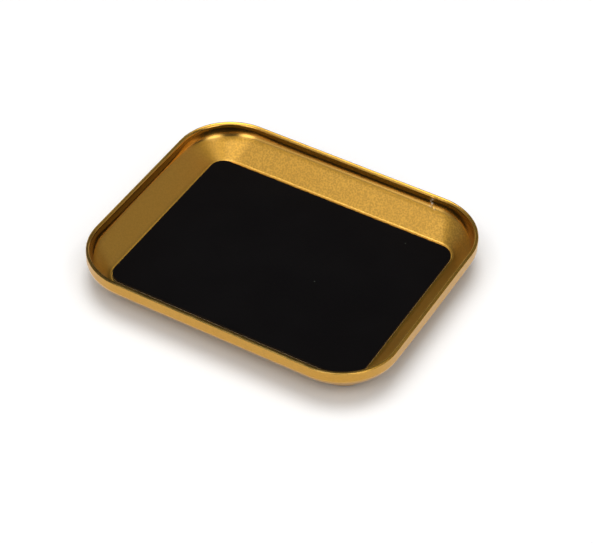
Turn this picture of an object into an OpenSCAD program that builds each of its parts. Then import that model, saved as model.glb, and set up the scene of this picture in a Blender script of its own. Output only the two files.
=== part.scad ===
// Shallow parts tray pressed from one metal sheet, with a black magnetic pad glued to its floor.
// Millimetres, +Z up. The origin is the middle of the underside, X runs along the longer sides.

/* [Tray] */
// Length of the tray over the lip, along X
tray_l = 107; // [95:1:140]
// Width of the tray over the lip, along Y
tray_w = 88; // [78:1:120]
// Height of the tray, underside to rim top
tray_h = 12; // [10:0.5:16]
// Thickness of the pressed sheet
sheet_t = 1.2; // [0.8:0.1:1.5]
// Plan radius of the lip's corners, on the outside
lip_corner_r = 19.3; // [16:0.1:24]

/* [Lip, flank and floor] */
// Height of the upright lip, rim top to the outside fold line
lip_h = 4.25; // [3.5:0.05:5]
// Slope of the flank above the floor, in degrees
flank_slope = 44; // [40:1:52]
// Inside radius of the fold between flank and lip
fold_r = 4; // [2:0.1:5]
// Inside radius of the bend between floor and flank
floor_bend_r = 1.5; // [0.8:0.1:2]
// Plan radius of the flat floor's corners
floor_corner_r = 6.2; // [4:0.1:9]

/* [Magnetic pad] */
// Clearance between the pad's short ends and the floor bend
pad_end_gap = 0.15; // [0.1:0.05:1.5]
// Clearance between the pad's long sides and the floor bend
pad_side_gap = 1.4; // [0.1:0.05:2]
// Thickness of the adhesive film under the magnet sheet
adhesive_t = 0.1; // [0.05:0.05:0.3]
// Thickness of the flexible magnet sheet
magnet_t = 0.8; // [0.5:0.1:1.5]
// Thickness of the black facing film
facing_t = 0.1; // [0.05:0.05:0.3]

/* [Smoothness] */
// Facets round each plan corner of the tray
corner_steps = 14; // [8:1:20]
// Facets round each fold, each bend and each half of the rim
bend_steps = 5; // [3:1:7]

/* [Hidden] */
$fn = 64;
gold = [0.79, 0.58, 0.25];
clear_tan = [0.85, 0.80, 0.68];
magnet_brown = [0.19, 0.17, 0.16];
matt_black = [0.06, 0.055, 0.06];

// The fold's arc meets the lip at this height
fold_z = tray_h - lip_h + (fold_r + sheet_t) * tan((90 - flank_slope) / 2);
// Inset and height where the flank leaves the fold, on the inside face
flank_top_in = sheet_t + fold_r * (1 - sin(flank_slope));
flank_top_z = fold_z - fold_r * cos(flank_slope);
// Height where the flank runs into the floor bend, and the inset where the flat floor begins
flank_foot_z = sheet_t + floor_bend_r * (1 - cos(flank_slope));
flank_run = (flank_top_z - flank_foot_z) / tan(flank_slope);
floor_in = flank_top_in + flank_run + floor_bend_r * sin(flank_slope);
floor_l = tray_l - 2 * floor_in;
floor_w = tray_w - 2 * floor_in;
// The sharpest pad corner that keeps its clearance to the floor bend
pad_corner_r = floor_corner_r - max(pad_end_gap, pad_side_gap);
pad_l = floor_l - 2 * pad_end_gap;
pad_w = floor_w - 2 * pad_side_gap;
magnet_z = sheet_t + adhesive_t;
facing_z = magnet_z + magnet_t;

// Plan radius of the inside face: the lip's own radius at the lip, easing to the floor's corner radius
function inside_r(inset) =
    floor_corner_r
    + (lip_corner_r - sheet_t - floor_corner_r) * (floor_in - inset) / (floor_in - sheet_t);

// Rounded rectangle, a given inset inside the tray's outline, with a given corner radius
function outline(inset, r) = [
    for (corner = [0:3])
        for (i = [0:corner_steps])
            let (a = 90 * (corner + i / corner_steps))
            let (side_x = corner == 0 || corner == 3 ? 1 : -1)
            let (side_y = corner < 2 ? 1 : -1)
            [
                side_x * (tray_l / 2 - inset - r) + r * cos(a),
                side_y * (tray_w / 2 - inset - r) + r * sin(a)
            ]
];

function steps(from, to, count) = [for (i = [0:count]) from + (to - from) * i / count];

// Inside face of the wall, floor to lip, as [inset, height, slope]
inside_profile = concat(
    [
        for (a = steps(0, flank_slope, bend_steps))
            [floor_in - floor_bend_r * sin(a), sheet_t + floor_bend_r * (1 - cos(a)), a]
    ],
    [
        for (a = steps(flank_slope, 90, bend_steps))
            [sheet_t + fold_r * (1 - sin(a)), fold_z - fold_r * cos(a), a]
    ]
);

// Rings of the wall as [inset, corner radius, height]: up the inside, over the rim, down the outside
inside_rings = [for (p = inside_profile) [p[0], inside_r(p[0]), p[1]]];
rim_rings = [
    for (a = steps(0, 180, 2 * bend_steps))
        let (inset = sheet_t / 2 * (1 + cos(a)))
        [inset, lip_corner_r - inset, tray_h - sheet_t / 2 * (1 - sin(a))]
];
outside_rings = [
    for (i = [len(inside_profile) - 1:-1:0])
        let (p = inside_profile[i])
        let (out = sheet_t * sin(p[2]))
        [p[0] - out, inside_r(p[0]) + out, p[1] - sheet_t * cos(p[2])]
];
wall_rings = concat(inside_rings, rim_rings, outside_rings);

// Skin of the wall: each ring joined to the next, and the last to the first at the floor's edge
module wall() {
    per_ring = 4 * (corner_steps + 1);
    count = len(wall_rings);
    points = [for (k = wall_rings) for (p = outline(k[0], k[1])) [p[0], p[1], k[2]]];
    faces = [
        for (k = [0:count - 1])
            for (i = [0:per_ring - 1])
                let (j = (i + 1) % per_ring)
                let (here = k * per_ring)
                let (next = ((k + 1) % count) * per_ring)
                for (face = [[here + i, here + j, next + j], [here + i, next + j, next + i]])
                    face
    ];
    polyhedron(points, faces, convexity = 6);
}

// Flat plate with round corners, standing on height z
module round_plate(l, w, r, t, z) {
    translate([0, 0, z])
        linear_extrude(t)
            union() {
                square([l - 2 * r, w], center = true);
                square([l, w - 2 * r], center = true);
                for (x = [-1, 1])
                    for (y = [-1, 1])
                        translate([x * (l / 2 - r), y * (w / 2 - r)])
                            circle(r);
            }
}

module tray_shell() {
    color(gold)
        union() {
            wall();
            linear_extrude(sheet_t)
                polygon(outline(floor_in, floor_corner_r));
        }
}

module adhesive_film() {
    color(clear_tan)
        round_plate(pad_l, pad_w, pad_corner_r, adhesive_t, sheet_t);
}

module magnet_sheet() {
    color(magnet_brown)
        round_plate(pad_l, pad_w, pad_corner_r, magnet_t, magnet_z);
}

module pad_facing() {
    color(matt_black)
        round_plate(pad_l, pad_w, pad_corner_r, facing_t, facing_z);
}

tray_shell();
adhesive_film();
magnet_sheet();
pad_facing();
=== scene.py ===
import math

import bpy
import numpy as np
from mathutils import Matrix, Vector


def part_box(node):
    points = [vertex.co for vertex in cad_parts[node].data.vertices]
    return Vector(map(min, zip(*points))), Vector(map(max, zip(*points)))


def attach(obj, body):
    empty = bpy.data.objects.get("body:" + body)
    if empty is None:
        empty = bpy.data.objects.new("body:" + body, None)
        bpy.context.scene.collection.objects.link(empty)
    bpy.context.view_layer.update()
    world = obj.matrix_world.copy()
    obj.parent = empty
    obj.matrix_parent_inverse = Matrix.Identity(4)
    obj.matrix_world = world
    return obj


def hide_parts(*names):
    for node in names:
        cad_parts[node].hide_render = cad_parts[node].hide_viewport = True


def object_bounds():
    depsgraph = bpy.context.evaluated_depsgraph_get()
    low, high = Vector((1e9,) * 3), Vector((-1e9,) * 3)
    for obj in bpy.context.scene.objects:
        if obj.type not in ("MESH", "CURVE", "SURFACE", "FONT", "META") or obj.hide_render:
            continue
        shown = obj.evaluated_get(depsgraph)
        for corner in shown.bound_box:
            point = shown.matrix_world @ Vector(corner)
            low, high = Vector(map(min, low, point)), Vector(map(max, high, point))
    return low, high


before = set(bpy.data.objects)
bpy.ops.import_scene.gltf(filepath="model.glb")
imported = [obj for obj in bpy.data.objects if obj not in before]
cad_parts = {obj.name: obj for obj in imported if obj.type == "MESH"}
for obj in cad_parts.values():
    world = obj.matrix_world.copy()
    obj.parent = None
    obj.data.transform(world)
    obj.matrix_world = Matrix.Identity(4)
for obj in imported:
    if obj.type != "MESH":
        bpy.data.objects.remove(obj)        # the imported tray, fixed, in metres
cadBox = [list(corner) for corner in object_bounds()]
mm = 0.001
scene = bpy.context.scene
print("frame loaded, nodes", sorted(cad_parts))


# Camera at the photograph's angle, aimed from the middle of the rim plane
view = {
    "azimuth": math.radians(28.85),     # 0 looks along +Y
    "elevation": math.radians(43.33),
    "roll": math.radians(1.64),
    "distance": 675.31 * mm,
    "slideRight": 4.26 * mm,
    "slideUp": -9.78 * mm,
    "focalPixels": 2163.97,
    "frameWidth": 594,                  # pixels
    "sensorWidth": 36.0,                # millimetres
    "clipStart": 10 * mm,
}


def placeCamera(rimTop):
    turn, tilt, roll = view["azimuth"], view["elevation"], view["roll"]
    back = np.array([math.sin(turn) * math.cos(tilt), -math.cos(turn) * math.cos(tilt), math.sin(tilt)])
    level = np.array([math.cos(turn), math.sin(turn), 0.0])
    upright = np.cross(back, level)
    right = level * math.cos(roll) + upright * math.sin(roll)
    up = upright * math.cos(roll) - level * math.sin(roll)
    eye = right * view["slideRight"] + up * view["slideUp"] + back * view["distance"]
    eye[2] += rimTop
    data = bpy.data.cameras.new("photoCamera")
    data.sensor_width = view["sensorWidth"]
    data.lens = view["sensorWidth"] * view["focalPixels"] / view["frameWidth"]
    data.clip_start = view["clipStart"]
    camera = bpy.data.objects.new("photoCamera", data)
    rows = [[right[i], up[i], back[i], eye[i]] for i in range(3)]
    camera.matrix_world = Matrix(rows + [[0, 0, 0, 1]])
    scene.collection.objects.link(camera)
    scene.camera = camera
    print("camera placed, lens", round(data.lens, 2))


# Outline shared by all pieces: a rounded rectangle as one formula. Each point is a point of the box of
# corner centres, plus the corner radius times that point's outward direction.
outline = {
    "arcSteps": 26,         # quads round each corner
    "longSteps": 26,        # quads along each long side
    "shortSteps": 22,
    "flatScales": (0.12, 0.4, 0.7, 0.92, 0.995),    # rings of a flat face, the last close to its edge
    "straight": 0.999,      # least share of its outward direction that puts a point on a straight side
}


def outlineShares(extraFar=()):
    # shares of the box of corner centres (-1 to 1) and outward directions, counter-clockwise from +X;
    # the far side can have extra points
    arc = np.linspace(0, math.pi / 2, outline["arcSteps"] + 1)
    longSide = np.linspace(1, -1, outline["longSteps"] + 1)[1:-1]
    farSide = np.unique(np.concatenate([longSide, np.asarray(extraFar, float)]))[::-1]
    shortSide = np.linspace(1, -1, outline["shortSteps"] + 1)[1:-1]
    shares, outwards = [], []
    for corner, (cx, cy) in enumerate([(1, 1), (-1, 1), (-1, -1), (1, -1)]):
        angle = arc + corner * math.pi / 2
        shares.append(np.column_stack([np.full_like(angle, cx), np.full_like(angle, cy)]))
        outwards.append(np.column_stack([np.cos(angle), np.sin(angle)]))
        run = [farSide, shortSide, -longSide, -shortSide][corner]
        fixed = np.full_like(run, [1, -1, -1, 1][corner])
        shares.append(np.column_stack([run, fixed] if corner in (0, 2) else [fixed, run]))
        side = [(0, 1), (-1, 0), (0, -1), (1, 0)][corner]
        outwards.append(np.tile(np.array(side, float), (len(run), 1)))
    return np.concatenate(shares), np.concatenate(outwards)


def onFarSide(outwards):
    return outwards[:, 1] > outline["straight"]


def ringPoints(shares, outwards, halfSize, rings):
    # rings hold inset, corner radius, height and scale, once per ring or once per point of each ring;
    # the result is rings x points x 3
    inset, radius, height, scale = (rings[..., i, None] for i in range(4))
    plan = shares[None] * (np.asarray(halfSize) - inset - radius) + radius * outwards[None]
    return np.concatenate([plan * scale, np.broadcast_to(height, plan.shape[:2] + (1,))], axis=2)


def closedMesh(name, points):
    # quads join each ring to the next, and a fan closes the first and the last ring at its middle
    rings, around = points.shape[:2]
    index = np.arange(rings * around).reshape(rings, around)
    following = np.roll(index, -1, axis=1)
    quads = np.stack([index[:-1], following[:-1], following[1:], index[1:]], axis=-1).reshape(-1, 4)
    firstPole, lastPole = rings * around, rings * around + 1
    firstFan = np.column_stack([np.full(around, firstPole), following[0], index[0]])
    lastFan = np.column_stack([index[-1], following[-1], np.full(around, lastPole)])
    poles = points[[0, -1]].mean(axis=1)
    vertices = np.concatenate([points.reshape(-1, 3), poles])
    mesh = bpy.data.meshes.new(name)
    mesh.from_pydata(vertices.tolist(), [], quads.tolist() + firstFan.tolist() + lastFan.tolist())
    mesh.polygons.foreach_set("use_smooth", np.ones(len(mesh.polygons), bool))
    mesh.validate()
    mesh.update()
    piece = bpy.data.objects.new(name, mesh)
    scene.collection.objects.link(piece)
    return piece


def paintMask(piece, name, values):
    # one value per grid point; the two poles get none
    mask = piece.data.attributes.new(name, "FLOAT", "POINT")
    mask.data.foreach_set("value", np.concatenate([values.ravel(), [0.0, 0.0]]).astype(np.float32))


def flatRings(inset, radius, height, edgeFirst):
    # rings of a flat face, as shrunken copies of its edge, with one close to the edge to keep the flat flat
    scale = np.array(outline["flatScales"])
    if edgeFirst:
        scale = scale[::-1]
    return np.column_stack([np.full((len(scale), 3), [inset, radius, height]), scale])[:, None]


# Tray: pressed from one sheet, 1.2 mm thick
tray = {
    "sheet": 1.2 * mm,
    "lipCornerRadius": 19.3 * mm,           # plan, outside
    "floorCornerRadius": 6.2 * mm,          # plan, where the flat floor ends
    "padEndGap": 0.15 * mm,                 # floor bend to the pad's short end
    "flankSlope": math.radians(44),
    "foldLong": 4.3 * mm,                   # inside radius of the fold along the long sides
    "foldShort": 1.5 * mm,                  # along the short sides
    "foldCorner": 6.2 * mm,                 # and at the middle of each corner
    "foldReach": 18 * mm,                   # how far along the outline the corner's wider fold runs out
    "easeSlope": math.radians(53),          # inside, the fold widens below this slope to ease into the flank
    "easeWiden": 2.0,                       # to this many times its radius
    "foldOutside": 0.5,                     # the outside of the fold is pressed tighter, to this share
    "bendRadius": 1.5 * mm,
    "rimOuter": 0.25 * mm,                  # the rim's cut edge is crisp outside
    "rimInner": (0.3 * mm, 0.9 * mm),       # and rounded off inside, least near and right, most far and left
    "rimChange": 0.6,                       # band either side of the diagonal in which that rounding changes
    # painted shade darkens the bend below the first slope, and is gone above the second
    "nookSlope": (math.radians(8), math.radians(24)),
    "nookSpared": 0.6,                      # share of that painted shade that the far side is spared
    "rimPaintedShade": 0.85,                       # painted shade that makes the near rim's cut top nearly black
    "rimShadeSpread": 3,                    # how far it spreads over the rim's roundings
    "burnishFrom": math.radians(50),        # slope at which the fold's rubbed finish sets in above the flank
    "burnishFade": math.radians(8),         # turn over which it sets in from either side
    "grainShare": (0.3, 1.15),              # blasted grain, lowest and on the far flank
    # quads across the lip, the fold inside, its easing, the fold outside, the flank and the bend
    "steps": {"lip": 16, "fold": 18, "ease": 10, "outside": 20, "flank": 12, "bend": 10},
    "rimSteps": (7, 16),                    # quads over the rim's outer and inner rounding
}


def smoothShare(share):
    # smooth step: three times the square less twice the cube
    share = np.clip(share, 0, 1)
    return share * share * (3 - 2 * share)


def foldRadii(shares, outwards, halfSize):
    # distance of each outline point from the nearest corner's middle, and from it a bell-shaped widening
    plan = tray["lipCornerRadius"]
    turned = np.arccos(np.clip(np.abs(outwards).sum(axis=1) / math.sqrt(2), -1, 1))
    away = plan * turned + (1 - np.abs(shares)) @ (np.asarray(halfSize) - plan)
    widening = np.exp(-(away / tray["foldReach"]) ** 2)
    side = tray["foldLong"] + (tray["foldShort"] - tray["foldLong"]) * outwards[:, 0] ** 2
    return side + (tray["foldCorner"] - side) * widening


def rimRounding(outwards):
    # inner rounding of the rim at each outline point, by a smooth step across the diagonal
    least, most = tray["rimInner"]
    lean = outwards @ np.array([-1.0, 1.0])     # 1 on the far and left sides, -1 on the other two
    return least + (most - least) * smoothShare((lean + tray["rimChange"]) / (2 * tray["rimChange"]))


def walkProfile(pieces, inset, height):
    # one face from the rim down: each straight or arc starts where the last one ended, and an arc turns
    # from one slope to the next; the result is rings x points x 3, with inset, height and slope
    rows = []
    for size, fromSlope, toSlope, steps in pieces:
        share = np.linspace(0, 1, steps + 1)[1 if rows else 0:, None]
        slope = fromSlope + (toSlope - fromSlope) * share
        if fromSlope == toSlope:
            stepIn = size * share * math.cos(fromSlope)
            stepDown = size * share * math.sin(fromSlope)
        else:
            stepIn = size * (math.sin(fromSlope) - np.sin(slope))
            stepDown = size * (np.cos(slope) - math.cos(fromSlope))
        slopes = np.broadcast_to(slope, stepIn.shape)
        rows.append(np.stack([inset + stepIn, height - stepDown, slopes], axis=2))
        inset, height = rows[-1][-1, :, 0], rows[-1][-1, :, 1]
    return np.concatenate(rows)


def wallRings(drop, lipInset, floorInset, floorHeight, fold, foldTurns, bend):
    # one face of the wall from under the rim to the flat floor; the flank and the lip take up what the fold
    # and the bend leave, and the plan radius eases from the lip's to the floor's
    steps, slope, upright = tray["steps"], tray["flankSlope"], math.pi / 2
    turns, foldIn, foldDown, reached = [], 0, 0, upright
    for share, toSlope, count in foldTurns:
        turns.append((share * fold, reached, toSlope, count))
        foldIn = foldIn + share * fold * (math.sin(reached) - math.sin(toSlope))
        foldDown = foldDown + share * fold * (math.cos(toSlope) - math.cos(reached))
        reached = toSlope
    flank = (floorInset - lipInset - foldIn - bend * math.sin(slope)) / math.cos(slope)
    lip = drop - foldDown - flank * math.sin(slope) - bend * (1 - math.cos(slope))
    lipPiece = (lip, upright, upright, steps["lip"])
    lowerPieces = [(flank, slope, slope, steps["flank"]), (bend, slope, 0.0, steps["bend"])]
    firstInset, firstHeight = np.full_like(fold, lipInset), np.full_like(fold, floorHeight + drop)
    face = walkProfile([lipPiece] + turns + lowerPieces, firstInset, firstHeight)
    inset, floorRadius = face[..., 0], tray["floorCornerRadius"]
    lipRadius = tray["lipCornerRadius"] - lipInset
    radius = floorRadius + (lipRadius - floorRadius) * (floorInset - inset) / (floorInset - lipInset)
    return np.stack([inset, radius, face[..., 1], np.ones_like(radius)], axis=2), face[:, 0, 2]


def rimRings(trayHeight, rimInner):
    # over the rim: a small quarter round outside, a flat, and a larger quarter round inside
    rimOuter, (outerSteps, innerSteps) = tray["rimOuter"], tray["rimSteps"]
    outerTurn = np.linspace(math.pi, math.pi / 2, outerSteps + 1)[1:]
    innerTurn = np.linspace(math.pi / 2, 0, innerSteps + 1)[:-1]
    turn = np.concatenate([outerTurn, innerTurn])[:, None]
    outer = (np.arange(len(turn)) < outerSteps)[:, None]
    edgeRadius = np.where(outer, rimOuter, rimInner)
    inset = np.where(outer, rimOuter, tray["sheet"] - rimInner) + edgeRadius * np.cos(turn)
    height = trayHeight - edgeRadius * (1 - np.sin(turn))
    rings = np.stack([inset, tray["lipCornerRadius"] - inset, height, np.ones_like(inset)], axis=2)
    return rings, np.sin(turn[:, 0])


def trayRings(trayHeight, floorInset, fold, rimInner):
    sheet, floorRadius, flankSlope = tray["sheet"], tray["floorCornerRadius"], tray["flankSlope"]
    steps, bend = tray["steps"], np.full_like(fold, tray["bendRadius"])
    insideTurns = [(1.0, tray["easeSlope"], steps["fold"]), (tray["easeWiden"], flankSlope, steps["ease"])]
    outsideTurns = [(tray["foldOutside"], flankSlope, steps["outside"])]
    insideRings, insideSlope = wallRings(
        trayHeight - rimInner - sheet, sheet, floorInset, sheet, fold, insideTurns, bend)
    outsideRings, outsideSlope = wallRings(
        trayHeight - tray["rimOuter"], 0.0, floorInset, 0.0, fold, outsideTurns, bend + sheet)
    outsideRings, outsideSlope = outsideRings[::-1], outsideSlope[::-1]
    overRim, rim = rimRings(trayHeight, rimInner)
    underside = flatRings(floorInset, floorRadius, 0.0, False)
    floor = flatRings(floorInset, floorRadius, sheet, True)
    parts = [underside, outsideRings, overRim, insideRings, floor]
    rings = np.concatenate([np.broadcast_to(part, (len(part), len(fold), 4)) for part in parts])
    # the press rubs the fold smooth between the flank and the upright lip, and the rim's cut edge is
    # tumbled smooth
    flat = np.zeros(len(floor))
    slopes = np.concatenate([flat, outsideSlope, 0 * rim, insideSlope, flat])
    fromEnds = np.minimum(slopes - tray["burnishFrom"], math.pi / 2 - slopes)
    rubbed = np.clip(fromEnds / tray["burnishFade"], 0, 1)
    onRim = np.concatenate([flat, 0 * outsideSlope, rim, 0 * insideSlope, flat])
    inside = np.concatenate([flat, 0 * outsideSlope, 0 * rim, insideSlope > 0, 1 + flat])
    nookFull, nookGone = tray["nookSlope"]
    marks = {
        "inside": inside,
        # painted shade in the bend between the floor and the flank
        "nook": inside * np.clip((nookGone - slopes) / (nookGone - nookFull), 0, 1),
        "burnish": np.maximum(rubbed, onRim > 0),
        "edge": onRim ** 2,
        "rimTop": len(flat) + len(outsideSlope) + tray["rimSteps"][0] - 1,
    }
    return rings, marks


# Nicks on the far lip: a run of small knocks from the rim down to the fold
nick = {
    # millimetres: along X, below the rim top, half width, half height, depth outwards; then share of
    # bare metal
    "knocks": [
        (30.8, 0.35, 0.9, 0.4, 0.05, 0.0),
        (30.36, 1.35, 0.34, 0.3, 0.04, 1.0),
        (29.9, 2.3, 0.28, 0.36, 0.03, 0.7),
        (30.47, 2.9, 0.34, 0.3, 0.04, 1.0),
        (30.2, 3.95, 0.5, 0.25, 0.02, 0.25),
        (31.1, 4.15, 0.25, 0.4, -0.02, 0.0),
        (31.75, 4.35, 0.26, 0.22, 0.02, 0.25),
    ],
    "fineFrom": 28.4 * mm,          # stretch of the far side with closer points
    "fineTo": 33.4 * mm,
    "fineSteps": 48,
}


def nickMarks(points, outwards, rimTop):
    # each knock is a bell along X and down the face, on the far side only; depths add up, and bare metal
    # takes the most
    far = onFarSide(outwards)[None]
    depth, bare = np.zeros(points.shape[:2]), np.zeros(points.shape[:2])
    for x, below, halfWidth, halfHeight, out, share in nick["knocks"]:
        across = (points[..., 0] / mm - x) / halfWidth
        down = ((rimTop - points[..., 2]) / mm - below) / halfHeight
        bell = far * np.exp(-across ** 2 - down ** 2)
        depth += out * mm * bell
        bare = np.maximum(bare, share * bell)
    return depth, bare


def paintTray(piece, outwards, marks, bare):
    # masks over the rings and the outline: a ring's mark times how far a point faces the far or the near side
    far = np.clip(outwards[None, :, 1], 0, 1) ** 2
    near = np.clip(-outwards[None, :, 1], 0, 1) ** 2
    inside, nook, burnish, edge = (marks[name][:, None] for name in ("inside", "nook", "burnish", "edge"))
    # the blasted grain is clearest on the far side of the well, and lowest on the outside
    lowest, most = tray["grainShare"]
    hit = inside * far
    # painted shade on the near rim's top, strongest where the rim faces the near side
    rimPaintedShade = tray["rimPaintedShade"] * np.clip(tray["rimShadeSpread"] * edge, 0, 1) * near
    paintMask(piece, "nick", bare)
    paintMask(piece, "grain", lowest + (most - lowest) * hit)
    # the nook mask: painted shade in the bend, less of it on the far side, plus the painted shade on the near
    # rim
    paintMask(piece, "nook", nook * (1 - tray["nookSpared"] * hit) + rimPaintedShade)
    paintMask(piece, "burnish", np.broadcast_to(burnish, bare.shape))
    paintMask(piece, "edge", np.broadcast_to(edge, bare.shape))


def makeTray():
    high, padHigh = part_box("tray_shell")[1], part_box("pad_facing")[1]
    halfSize = (high.x, high.y)
    floorInset = high.x - padHigh.x - tray["padEndGap"]
    fine = np.linspace(nick["fineFrom"], nick["fineTo"], nick["fineSteps"])
    shares, outwards = outlineShares(fine / (high.x - tray["lipCornerRadius"]))
    fold = foldRadii(shares, outwards, halfSize)
    rings, marks = trayRings(high.z, floorInset, fold, rimRounding(outwards))
    points = ringPoints(shares, outwards, halfSize, rings)
    depth, bare = nickMarks(points, outwards, high.z)
    depth[:marks["rimTop"]] = 0         # nicks on the inner face only
    bare[:marks["rimTop"]] = 0
    points[..., :2] += depth[..., None] * outwards[None]
    piece = closedMesh("pressed_tray", points)
    paintTray(piece, outwards, marks, bare)
    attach(piece, "root")
    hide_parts("tray_shell")
    print("tray pressed, rings", len(rings), "faces", len(piece.data.polygons))
    return piece


# Pad: three bonded layers with the same outline
pad = {
    "cornerRadius": 4.8 * mm,
    "edgeRound": {"adhesive_film": 0.02 * mm, "magnet_sheet": 0.06 * mm, "pad_facing": 0.05 * mm},
    "edgeSteps": 4,             # quads over each rounded edge
    "names": {"adhesive_film": "bond_film", "magnet_sheet": "magnet_layer", "pad_facing": "black_face"},
    "slots": {"adhesive_film": "adhesive", "magnet_sheet": "flexible_magnet", "pad_facing": "black_facing"},
    "closeSteps": 150,          # extra points along the far side, for the cut's waver
    "closeReach": 0.99,         # share of the straight far side that they cover
    # the far side wavers as it was cut: millimetres in or out, wavelength, start
    "waver": [(0.035, 6.1, 0.4), (0.03, 3.3, 1.9), (0.02, 2.1, 0.7)],
}


def plateRings(low, high, radius, edge):
    # up the bottom edge's quarter round, the side and the top edge's quarter round, between two flats
    turn = np.linspace(0, math.pi / 2, pad["edgeSteps"] + 1)
    inset, rise, scale = edge * (1 - np.sin(turn)), edge * (1 - np.cos(turn)), np.ones_like(turn)
    bottom = np.column_stack([inset, radius - inset, low + rise, scale])
    top = np.column_stack([inset, radius - inset, high - rise, scale])[::-1]
    lowFlat = flatRings(edge, radius - edge, low, False)
    highFlat = flatRings(edge, radius - edge, high, True)
    return np.concatenate([lowFlat, bottom[:, None], top[:, None], highFlat])


def makePadLayer(node):
    low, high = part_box(node)
    rings = plateRings(low.z, high.z, pad["cornerRadius"], pad["edgeRound"][node])
    shares, outwards = outlineShares(np.linspace(-pad["closeReach"], pad["closeReach"], pad["closeSteps"]))
    points = ringPoints(shares, outwards, (high.x, high.y), rings)
    # sum of a few sine waves along X, moving the far edge in and out
    along = points[..., 0] / mm
    waver = sum(size * np.sin(2 * math.pi * along / length + start) for size, length, start in pad["waver"])
    points[..., 1] += np.where(onFarSide(outwards), waver, 0) * mm * rings[..., 3]
    piece = closedMesh(pad["names"][node], points)
    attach(piece, "root")
    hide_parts(node)
    print("pad layer cut:", piece.name)
    return piece


# Shader helpers
def addNode(tree, kind, sockets=None, **settings):
    made = tree.nodes.new(kind)
    for key, value in settings.items():
        setattr(made, key, value)
    for key, value in (sockets or {}).items():
        if isinstance(value, bpy.types.NodeSocket):
            tree.links.new(value, made.inputs[key])
        else:
            made.inputs[key].default_value = value
    return made


def newMaterial(name):
    material = bpy.data.materials.new(name)
    material.use_nodes = True
    material.node_tree.nodes.clear()
    return material, material.node_tree


def finishMaterial(tree, sockets):
    shader = addNode(tree, "ShaderNodeBsdfPrincipled", sockets)
    addNode(tree, "ShaderNodeOutputMaterial", {"Surface": shader.outputs["BSDF"]})


def calc(tree, operation, first, second=0.0):
    return addNode(tree, "ShaderNodeMath", {0: first, 1: second}, operation=operation).outputs[0]


def ramp(tree, value, low, high, toLow=0.0, toHigh=1.0):
    return addNode(tree, "ShaderNodeMapRange", {
        "Value": value, "From Min": low, "From Max": high, "To Min": toLow, "To Max": toHigh,
    }, interpolation_type="SMOOTHSTEP").outputs["Result"]


def blend(tree, share, first, second):
    return addNode(tree, "ShaderNodeMix", {0: share, 6: first, 7: second}, data_type="RGBA").outputs[2]


def attribute(tree, name):
    return addNode(tree, "ShaderNodeAttribute", attribute_name=name).outputs["Fac"]


def placeHere(tree):
    return addNode(tree, "ShaderNodeTexCoord").outputs["Object"]


def vectorMath(tree, operation, first, second):
    return addNode(tree, "ShaderNodeVectorMath", {0: first, 1: second}, operation=operation).outputs


def noiseOver(tree, place, size, detail):
    perSize = calc(tree, "DIVIDE", 1.0, size)
    noise = addNode(tree, "ShaderNodeTexNoise", {"Vector": place, "Scale": perSize, "Detail": detail})
    return noise.outputs["Fac"]


def newGroup(name, inputs, outputs):
    group = bpy.data.node_groups.new(name, "ShaderNodeTree")
    for direction, labels in (("INPUT", inputs), ("OUTPUT", outputs)):
        for label in labels:
            kind = "NodeSocketVector" if label == "Vector" else "NodeSocketFloat"
            group.interface.new_socket(label, in_out=direction, socket_type=kind)
    return group, addNode(group, "NodeGroupInput").outputs


def useGroup(tree, group, sockets):
    return addNode(tree, "ShaderNodeGroup", sockets, node_tree=group).outputs


# Blasted grain: round pits with finer noise in them, and slow clouds across the sheet
grainMix = {
    "pitSmoothness": 0.5,
    "pitHeight": 0.5,
    "noiseHeight": 0.6,
    "noiseDetail": 2.0,
    "cloudDetail": 3.0,
    "cloudRange": (0.3, 0.7),       # where the clouds are thinnest and thickest
}


def makeGrainGroup():
    group, given = newGroup("fine_grain", ["Vector", "Grain Size", "Cloud Size"], ["Height", "Cloud"])
    perGrain = calc(group, "DIVIDE", 1.0, given["Grain Size"])
    pits = addNode(group, "ShaderNodeTexVoronoi", {
        "Vector": given["Vector"], "Scale": perGrain, "Smoothness": grainMix["pitSmoothness"],
    }, feature="SMOOTH_F1").outputs["Distance"]
    noise = noiseOver(group, given["Vector"], given["Grain Size"], grainMix["noiseDetail"])
    cloud = noiseOver(group, given["Vector"], given["Cloud Size"], grainMix["cloudDetail"])
    pitPart = calc(group, "MULTIPLY", pits, grainMix["pitHeight"])
    noisePart = calc(group, "MULTIPLY", noise, grainMix["noiseHeight"])
    addNode(group, "NodeGroupOutput", {"Height": calc(group, "ADD", pitPart, noisePart), "Cloud": cloud})
    return group


# Stray dust: a small round speck in a few of the cells
dustMix = {
    "leastReach": 0.02,             # radius of a speck, as a share of its cell
    "moreReach": 0.03,              # and by how much the largest are wider
}


def makeDustGroup():
    group, given = newGroup("stray_dust", ["Vector", "Cell Size", "Share"], ["Mask"])
    cells = addNode(group, "ShaderNodeTexVoronoi", {
        "Vector": given["Vector"], "Scale": calc(group, "DIVIDE", 1.0, given["Cell Size"])})
    lot = addNode(group, "ShaderNodeSeparateColor", {"Color": cells.outputs["Color"]})
    chosen = calc(group, "LESS_THAN", lot.outputs["Red"], given["Share"])
    more = calc(group, "MULTIPLY", lot.outputs["Green"], dustMix["moreReach"])
    reach = calc(group, "ADD", more, dustMix["leastReach"])
    speck = ramp(group, cells.outputs["Distance"], reach, 0.0)
    addNode(group, "NodeGroupOutput", {"Mask": calc(group, "MULTIPLY", chosen, speck)})
    return group


# Edge wear: an edge mask broken up by noise
wearMix = {
    "detail": 4.0,
    "patchRange": (0.45, 0.7),      # noise at which a worn patch begins and is full
}


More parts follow.
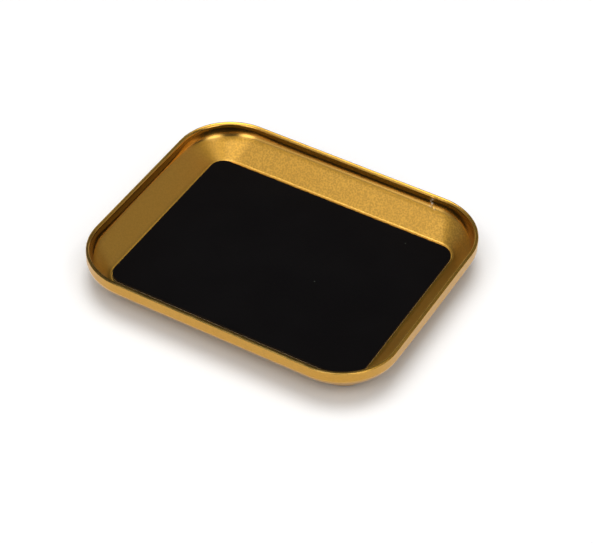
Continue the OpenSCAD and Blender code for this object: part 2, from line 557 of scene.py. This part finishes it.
def makeWearGroup():
    group, given = newGroup("edge_wear", ["Vector", "Edge", "Patch Size"], ["Mask"])
    noise = noiseOver(group, given["Vector"], given["Patch Size"], wearMix["detail"])
    patches = ramp(group, noise, *wearMix["patchRange"])
    addNode(group, "NodeGroupOutput", {"Mask": calc(group, "MULTIPLY", given["Edge"], patches)})
    return group


groups = {"grain": makeGrainGroup(), "dust": makeDustGroup(), "wear": makeWearGroup()}
print("shared effects made:", sorted(groups))


def grainOn(tree, place, finish):
    return useGroup(tree, groups["grain"], {
        "Vector": place, "Grain Size": finish["grainSize"], "Cloud Size": finish["cloudSize"]})


def overClouds(tree, grain, low=0.0, high=1.0):
    # a value that drifts between two levels with the slow clouds
    return ramp(tree, grain["Cloud"], *grainMix["cloudRange"], low, high)


def bumped(tree, height, finish):
    bump = addNode(tree, "ShaderNodeBump", {"Height": height, "Distance": finish["grainDepth"]})
    return bump.outputs["Normal"]


goldFinish = {
    "colour": (0.63, 0.341, 0.047, 1),
    "cloudColour": (0.61, 0.326, 0.042, 1),
    "pitColour": (0.46, 0.247, 0.032, 1),
    "rubbedColour": (0.58, 0.314, 0.044, 1),
    # colour of the painted shade in the bend by the pad and on the near rim's top
    "paintedShadeColour": (0.1, 0.07, 0.018, 1),
    "bareMetal": (0.7, 0.66, 0.6, 1),
    "wornColour": (0.6, 0.36, 0.09, 1),
    "roughness": 0.4,               # far flank, where the grain is clear
    "dullRoughness": 0.47,          # the other flanks and the outside
    "rubbedRoughness": 0.22,        # fold and rim
    "roughDrift": (0.96, 1.04),     # how far the clouds carry it either way
    "coat": 0.5,                    # clear sealed oxide over the dyed metal
    "foldCoat": 1.0,                # fullest where the fold is polished
    "rimCoat": 0.1,                 # mostly worn off the cut edge
    "coatIor": 1.4,
    "coatRoughness": 0.2,
    "grainSize": 0.6 * mm,
    "grainDepth": 0.03 * mm,
    "grainRubbedOff": 0.8,          # share of the grain's depth that is gone on the fold and the rim
    "pitRange": (0.75, 0.35),       # height of the grain at which a pit begins and is full
    "meanPits": 0.5,                # pitted share where the grain is weak
    "cloudSize": 14 * mm,
    "wear": 0.3,
    "wearPatch": 6 * mm,
}


def goldColour(tree, place, grain, burnish, edge, dent, grainShare):
    wear = useGroup(tree, groups["wear"], {
        "Vector": place, "Edge": edge, "Patch Size": goldFinish["wearPatch"]})["Mask"]
    # about half pitted wherever the grain is weak, so that its mean colour stays the same
    pitted = ramp(tree, grain["Height"], *goldFinish["pitRange"])
    pitted = calc(tree, "SUBTRACT", pitted, goldFinish["meanPits"])
    pitted = calc(tree, "ADD", calc(tree, "MULTIPLY", pitted, grainShare), goldFinish["meanPits"])
    worn = calc(tree, "MULTIPLY", wear, goldFinish["wear"])
    colour = blend(tree, overClouds(tree, grain), goldFinish["colour"], goldFinish["cloudColour"])
    # the nook mask lays the painted shade colour into the bend and onto the near rim
    for share, over in [
        (pitted, "pitColour"), (burnish, "rubbedColour"), (attribute(tree, "nook"), "paintedShadeColour"),
        (worn, "wornColour"), (dent, "bareMetal"),
    ]:
        colour = blend(tree, share, colour, goldFinish[over])
    return colour


def makeGold():
    material, tree = newMaterial("gold_anodised")
    place = placeHere(tree)
    names = ("burnish", "edge", "nick", "grain")
    burnish, edge, dent, grainShare = (attribute(tree, name) for name in names)
    grain = grainOn(tree, place, goldFinish)
    rough = ramp(tree, grainShare, *tray["grainShare"], goldFinish["dullRoughness"], goldFinish["roughness"])
    rough = ramp(tree, burnish, 0.0, 1.0, rough, goldFinish["rubbedRoughness"])
    rough = calc(tree, "MULTIPLY", rough, overClouds(tree, grain, *goldFinish["roughDrift"]))
    rubbedOff = calc(tree, "MULTIPLY", burnish, goldFinish["grainRubbedOff"])
    depthLeft = calc(tree, "SUBTRACT", 1.0, rubbedOff)
    coat = ramp(tree, burnish, 0.0, 1.0, goldFinish["coat"], goldFinish["foldCoat"])
    coatLost = calc(tree, "MULTIPLY", edge, goldFinish["foldCoat"] - goldFinish["rimCoat"])
    finishMaterial(tree, {
        "Base Color": goldColour(tree, place, grain, burnish, edge, dent, grainShare),
        "Metallic": calc(tree, "SUBTRACT", 1.0, dent),
        "Roughness": rough,
        "Normal": bumped(tree, calc(tree, "MULTIPLY", grain["Height"], depthLeft), goldFinish),
        "Coat Weight": calc(tree, "SUBTRACT", coat, coatLost),
        "Coat Roughness": goldFinish["coatRoughness"],
        "Coat IOR": goldFinish["coatIor"],
    })
    return material


blackFinish = {
    "colour": (0.0026, 0.0022, 0.0024, 1),
    "dustColour": (0.012, 0.012, 0.011, 1),
    "dustCell": 5 * mm,
    "dustShare": 0.25,              # share of the cells that hold a speck of dust
    "dustStrength": 0.5,
    "speckColour": (0.05, 0.06, 0.045, 1),
    "specks": [(12.7 * mm, -2.1 * mm), (28.8 * mm, 28.2 * mm)],
    "speckRadius": 0.3 * mm,
    "roughness": (0.8, 0.92),
    "specular": 0.05,
    "grainSize": 0.3 * mm,
    "grainDepth": 0.01 * mm,
    "cloudSize": 20 * mm,
}


def makeBlackFace():
    material, tree = newMaterial("black_vinyl")
    place, faceHeight = placeHere(tree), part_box("pad_facing")[1].z
    grain = grainOn(tree, place, blackFinish)
    dust = useGroup(tree, groups["dust"], {
        "Vector": place, "Cell Size": blackFinish["dustCell"], "Share": blackFinish["dustShare"]})["Mask"]
    dusty = calc(tree, "MULTIPLY", dust, blackFinish["dustStrength"])
    colour = blend(tree, dusty, blackFinish["colour"], blackFinish["dustColour"])
    for x, y in blackFinish["specks"]:
        away = vectorMath(tree, "DISTANCE", place, (x, y, faceHeight))["Value"]
        speck = ramp(tree, away, blackFinish["speckRadius"], 0.0)
        colour = blend(tree, speck, colour, blackFinish["speckColour"])
    finishMaterial(tree, {
        "Base Color": colour,
        "Roughness": overClouds(tree, grain, *blackFinish["roughness"]),
        "Specular IOR Level": blackFinish["specular"],
        "Normal": bumped(tree, grain["Height"], blackFinish),
    })
    return material


magnetFinish = {
    "colour": (0.012, 0.0105, 0.01, 1),
    "streakColour": (0.024, 0.019, 0.017, 1),
    "streakStretch": (0.06, 1.0, 1.0),      # streaks run along X, as the sheet was rolled
    "streakRange": (0.4, 0.65),
    "roughness": (0.7, 0.88),
    "specular": 0.2,
    "grainSize": 0.5 * mm,
    "grainDepth": 0.02 * mm,
    "cloudSize": 1.5 * mm,
}


def makeMagnet():
    material, tree = newMaterial("ferrite_rubber")
    stretched = vectorMath(tree, "MULTIPLY", placeHere(tree), magnetFinish["streakStretch"])["Vector"]
    grain = grainOn(tree, stretched, magnetFinish)
    streaks = ramp(tree, grain["Cloud"], *magnetFinish["streakRange"])
    finishMaterial(tree, {
        "Base Color": blend(tree, streaks, magnetFinish["colour"], magnetFinish["streakColour"]),
        "Roughness": overClouds(tree, grain, *magnetFinish["roughness"]),
        "Specular IOR Level": magnetFinish["specular"],
        "Normal": bumped(tree, grain["Height"], magnetFinish),
    })
    return material


filmFinish = {
    "colour": (0.62, 0.52, 0.36, 1),
    "cloudyColour": (0.5, 0.4, 0.26, 1),
    "cloudyRange": (0.4, 0.6),
    "roughness": (0.3, 0.5),
    "grainSize": 0.8 * mm,
    "grainDepth": 0.01 * mm,
    "cloudSize": 5 * mm,
}


def makeFilm():
    material, tree = newMaterial("tacky_film")
    grain = grainOn(tree, placeHere(tree), filmFinish)
    cloudy = ramp(tree, grain["Cloud"], *filmFinish["cloudyRange"])
    finishMaterial(tree, {
        "Base Color": blend(tree, cloudy, filmFinish["colour"], filmFinish["cloudyColour"]),
        "Roughness": overClouds(tree, grain, *filmFinish["roughness"]),
        "Normal": bumped(tree, grain["Height"], filmFinish),
    })
    return material


# Studio: a pale floor that keeps the shadow, and soft boxes round the sky
studio = {
    "floorHalf": 8.0,                   # wide enough to fill the view also from low down
    "floorDrop": 0.05 * mm,
    "floorColour": (0.9, 0.9, 0.9, 1),
    "shadeColour": (0.52, 0.53, 0.535, 1),      # where the tray closes off the floor, for the contact shadow
    "shadeReach": 12 * mm,
    "shadeSamples": 8,
    "roomLevel": 0.1,
    # soft lights in degrees: azimuth from +X, elevation, full inside this angle, gone outside this one, level
    "softLights": [
        (-26, 15, 7, 20, 3.1),          # low boxes, either side of the photographer
        (-93, 13, 8, 20, 3.1),
        (-118, 14, 5, 14, 0.4),
        (-103, 52, 8, 24, 1.8),         # row of boxes above the camera
        (-62, 54, 8, 24, 3.0),
        (-15, 50, 8, 24, 1.6),
        (38, 26, 8, 28, 0.35),          # pale wall on the right
        (-150, 30, 10, 42, 0.3),        # pale walls on the left
        (142, 10, 10, 30, 0.75),
        (88, 10, 8, 26, 0.6),           # pale wall behind
        (122, 76, 8, 25, 6.3),          # overhead
    ],
}


def makeFloor():
    half, down = studio["floorHalf"], -studio["floorDrop"]
    corners = [(-half, -half, down), (half, -half, down), (half, half, down), (-half, half, down)]
    mesh = bpy.data.meshes.new("studio_floor")
    mesh.from_pydata(corners, [], [(0, 1, 2, 3)])
    floor = bpy.data.objects.new("studio_floor", mesh)
    scene.collection.objects.link(floor)
    material, tree = newMaterial("floor_paper")
    openness = addNode(tree, "ShaderNodeAmbientOcclusion", {"Distance": studio["shadeReach"]},
                       samples=studio["shadeSamples"]).outputs["AO"]
    colour = blend(tree, openness, studio["shadeColour"], studio["floorColour"])
    paper = addNode(tree, "ShaderNodeBsdfDiffuse", {"Color": colour})
    addNode(tree, "ShaderNodeOutputMaterial", {"Surface": paper.outputs["BSDF"]})
    mesh.materials.append(material)


def makeSky():
    # the room's level, plus each soft light's own, which falls off with the angle from its middle
    world = bpy.data.worlds.new("studio_sky")
    world.use_nodes = True
    scene.world = world
    tree = world.node_tree
    tree.nodes.clear()
    looking = addNode(tree, "ShaderNodeTexCoord").outputs["Generated"]
    level = studio["roomLevel"]
    for azimuth, elevation, inner, outer, strength in studio["softLights"]:
        turn, tilt = math.radians(azimuth), math.radians(elevation)
        towards = (math.cos(turn) * math.cos(tilt), math.sin(turn) * math.cos(tilt), math.sin(tilt))
        away = calc(tree, "ARCCOSINE", vectorMath(tree, "DOT_PRODUCT", looking, towards)["Value"])
        glow = ramp(tree, away, math.radians(outer), math.radians(inner), 0.0, strength)
        level = calc(tree, "ADD", level, glow)
    sky = addNode(tree, "ShaderNodeBackground", {"Color": (1, 1, 1, 1), "Strength": level})
    addNode(tree, "ShaderNodeOutputWorld", {"Surface": sky.outputs["Background"]})


placeCamera(cadBox[1][2])
makeTray().data.materials.append(makeGold())
makePadLayer("adhesive_film").data.materials.append(makeFilm())
makePadLayer("magnet_sheet").data.materials.append(makeMagnet())
makePadLayer("pad_facing").data.materials.append(makeBlackFace())
makeFloor()
makeSky()
scene.view_settings.view_transform = "Standard"
print("studio lit")
